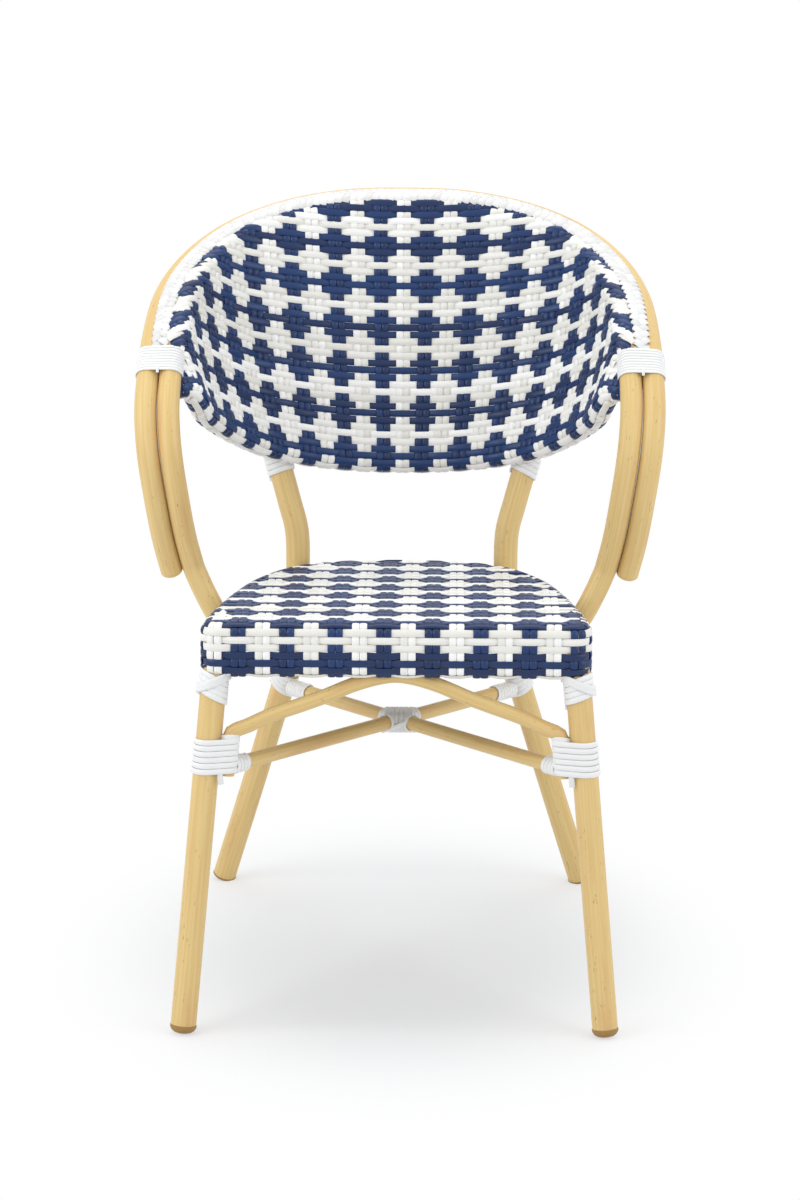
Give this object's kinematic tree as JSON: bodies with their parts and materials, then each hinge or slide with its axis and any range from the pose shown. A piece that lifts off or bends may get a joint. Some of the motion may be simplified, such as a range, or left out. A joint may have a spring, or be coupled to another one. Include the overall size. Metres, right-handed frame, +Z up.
{
  "type": "bistro armchair",
  "caption": "Bistro armchair with a splayed bamboo-look tube frame, hooped arms, a woven seat and a woven barrel back, bound with white strip at its joints.",
  "frame": {"origin": "on the floor under the middle of the chair's box", "axes": "+Z up, -Y towards the front of the seat, +X to the right as seen from the front"},
  "size_m": [0.5938, 0.5632, 0.8593],
  "materials": {
    "bamboo_coat": "satin",
    "brown_plastic": "matte",
    "white_strip": "satin",
    "white_braid": "satin",
    "woven_strand": "satin"
  },
  "bodies": {
    "root": {"seat_upper_rail": "bamboo_coat", "seat_lower_rail": "bamboo_coat", "seat_post_front_left": "bamboo_coat", "seat_post_rear_left": "bamboo_coat", "seat_post_front_right": "bamboo_coat", "seat_post_rear_right": "bamboo_coat", "seat_bar_front": "bamboo_coat", "seat_bar_rear": "bamboo_coat", "front_leg_left": "bamboo_coat", "front_leg_right": "bamboo_coat", "rear_leg_left": "bamboo_coat", "rear_leg_right": "bamboo_coat", "outer_hoop": "bamboo_coat", "inner_hoop": "bamboo_coat", "back_lower_rail": "bamboo_coat", "arm_end_plate_left": "bamboo_coat", "arm_end_plate_right": "bamboo_coat", "front_arch": "bamboo_coat", "stretcher_whole": "bamboo_coat", "stretcher_half_front": "bamboo_coat", "stretcher_half_rear": "bamboo_coat", "foot_cap_front_left": "brown_plastic", "foot_cap_front_right": "brown_plastic", "foot_cap_rear_left": "brown_plastic", "foot_cap_rear_right": "brown_plastic", "front_leg_wrap_left": "white_strip", "front_leg_wrap_right": "white_strip", "arm_wrap_left": "white_strip", "arm_wrap_right": "white_strip", "rear_leg_wrap_left": "white_strip", "rear_leg_wrap_right": "white_strip", "stretcher_wrap_front_left": "white_strip", "stretcher_wrap_rear_right": "white_strip", "stretcher_wrap_front_right": "white_strip", "stretcher_wrap_rear_left": "white_strip", "stretcher_cross_wrap": "white_strip", "front_leg_top_wrap_left": "white_strip", "front_leg_top_wrap_right": "white_strip", "arm_seat_wrap_left": "white_strip", "arm_seat_wrap_right": "white_strip", "back_rail_wrap_left": "white_strip", "back_rail_wrap_right": "white_strip", "upright_top_wrap_left": "white_strip", "upright_top_wrap_right": "white_strip", "rim_braid": "white_braid", "seat_weave": "woven_strand", "back_weave": "woven_strand"}
  },
  "joints": []
}
